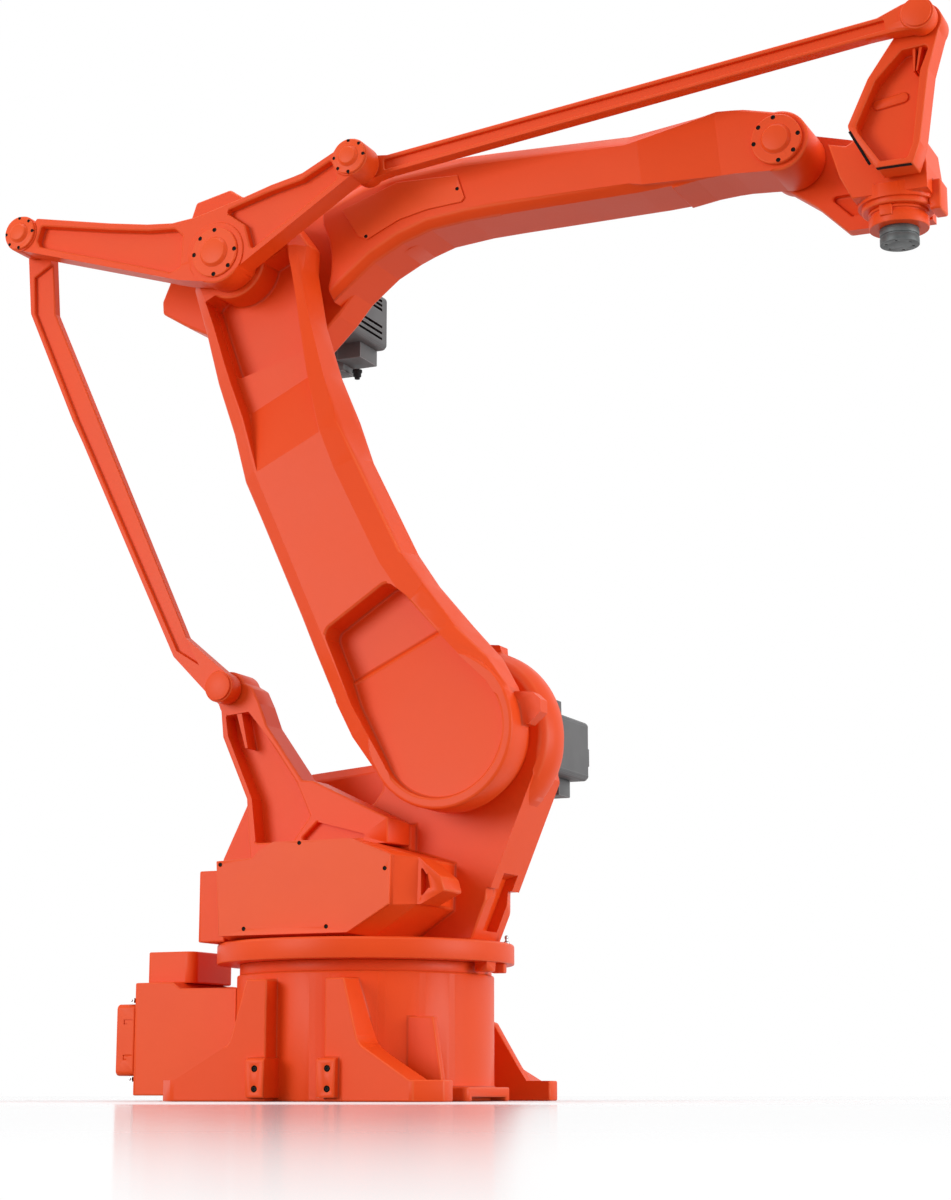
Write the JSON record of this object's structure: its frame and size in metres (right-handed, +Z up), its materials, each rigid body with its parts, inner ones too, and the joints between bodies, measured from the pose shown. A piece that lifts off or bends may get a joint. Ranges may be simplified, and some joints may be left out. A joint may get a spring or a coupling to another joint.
{
  "type": "industrial palletizing robot arm",
  "caption": "Floor-standing palletizing robot arm with a slewing turret, lower arm, rocker, level-keeping rods, upper arm, wrist and tool flange.",
  "frame": {"origin": "on the turret's turning axis at the floor, in the base's bottom face", "axes": "+Z up, +X the way the arm reaches, -Y the side with the rocker and rods"},
  "size_m": [2.3692, 0.802, 2.3609],
  "materials": {
    "orange_paint": "semi-gloss enamel on castings",
    "motor_grey": "matt dark grey",
    "pin_steel": "ground",
    "flange_steel": "machined, blackened"
  },
  "bodies": {
    "base": {"base_casting": "orange_paint", "slewing_bearing": "orange_paint", "cable_box": "orange_paint", "connector_panel": "orange_paint", "turn_motor": "orange_paint"},
    "turret": {"turret_ring": "orange_paint", "turret_casting": "orange_paint", "shoulder_gearbox": "orange_paint", "link_bracket": "orange_paint", "side_cover": "orange_paint", "rear_box": "orange_paint", "column_cover": "orange_paint", "shoulder_motor": "motor_grey", "shoulder_motor_plug": "motor_grey", "bracket_pin": "pin_steel"},
    "lower_arm": {"lower_arm": "orange_paint", "elbow_pin": "pin_steel"},
    "rocker": {"rocker": "orange_paint", "rocker_rear_cap": "orange_paint", "rocker_elbow_cap": "orange_paint", "rocker_front_cap": "orange_paint", "rocker_rear_pin": "pin_steel", "rocker_front_pin": "pin_steel"},
    "rear_link": {"rear_link": "orange_paint"},
    "front_rod": {"front_rod": "orange_paint"},
    "upper_arm": {"upper_arm": "orange_paint", "arm_cover": "orange_paint", "wrist_cap": "orange_paint", "wrist_pin": "pin_steel", "elbow_motor": "motor_grey", "elbow_motor_plug": "motor_grey"},
    "wrist": {"wrist_housing": "orange_paint", "wrist_lever": "orange_paint", "lever_pin": "pin_steel", "wrist_ring": "orange_paint"},
    "tool_flange": {"tool_flange": "flange_steel"}
  },
  "joints": [
    {"name": "turret_turn", "type": "hinge", "parent": "base", "child": "turret", "pos_m": [0, 0, 0.283], "axis": [0, 0, 1], "range_deg": [-165, 165]},
    {"name": "shoulder_swing", "type": "hinge", "parent": "turret", "child": "lower_arm", "pos_m": [0.282, 0, 0.818], "axis": [0, 1, 0], "range_deg": [-15, 55]},
    {"name": "rocker_level", "type": "hinge", "parent": "lower_arm", "child": "rocker", "pos_m": [-0.27991, 0, 2.00137], "axis": [0, 1, 0], "range_deg": [-55, 15]},
    {"name": "elbow_swing", "type": "hinge", "parent": "rocker", "child": "upper_arm", "pos_m": [-0.27991, 0, 2.00137], "axis": [0, 1, 0], "range_deg": [-6, 40]},
    {"name": "wrist_level", "type": "hinge", "parent": "upper_arm", "child": "wrist", "pos_m": [1.06863, 0, 2.13359], "axis": [0, 1, 0], "range_deg": [-40, 6]},
    {"name": "flange_turn", "type": "hinge", "parent": "wrist", "child": "tool_flange", "pos_m": [1.32163, 0, 1.87159], "axis": [0, 0, 1], "continuous": true},
    {"name": "rear_link_swing", "type": "hinge", "parent": "turret", "child": "rear_link", "pos_m": [-0.28805, 0, 0.9538], "axis": [0, 1, 0], "range_deg": [-15, 55]},
    {"name": "front_rod_swing", "type": "hinge", "parent": "rocker", "child": "front_rod", "pos_m": [0.08184, 0, 2.18569], "axis": [0, 1, 0], "range_deg": [-6, 40]}
  ],
  "couplings": [
    {"joint": "rocker_level", "follows": "shoulder_swing", "ratio": -1},
    {"joint": "rear_link_swing", "follows": "shoulder_swing", "ratio": 1},
    {"joint": "wrist_level", "follows": "elbow_swing", "ratio": -1},
    {"joint": "front_rod_swing", "follows": "elbow_swing", "ratio": 1}
  ]
}
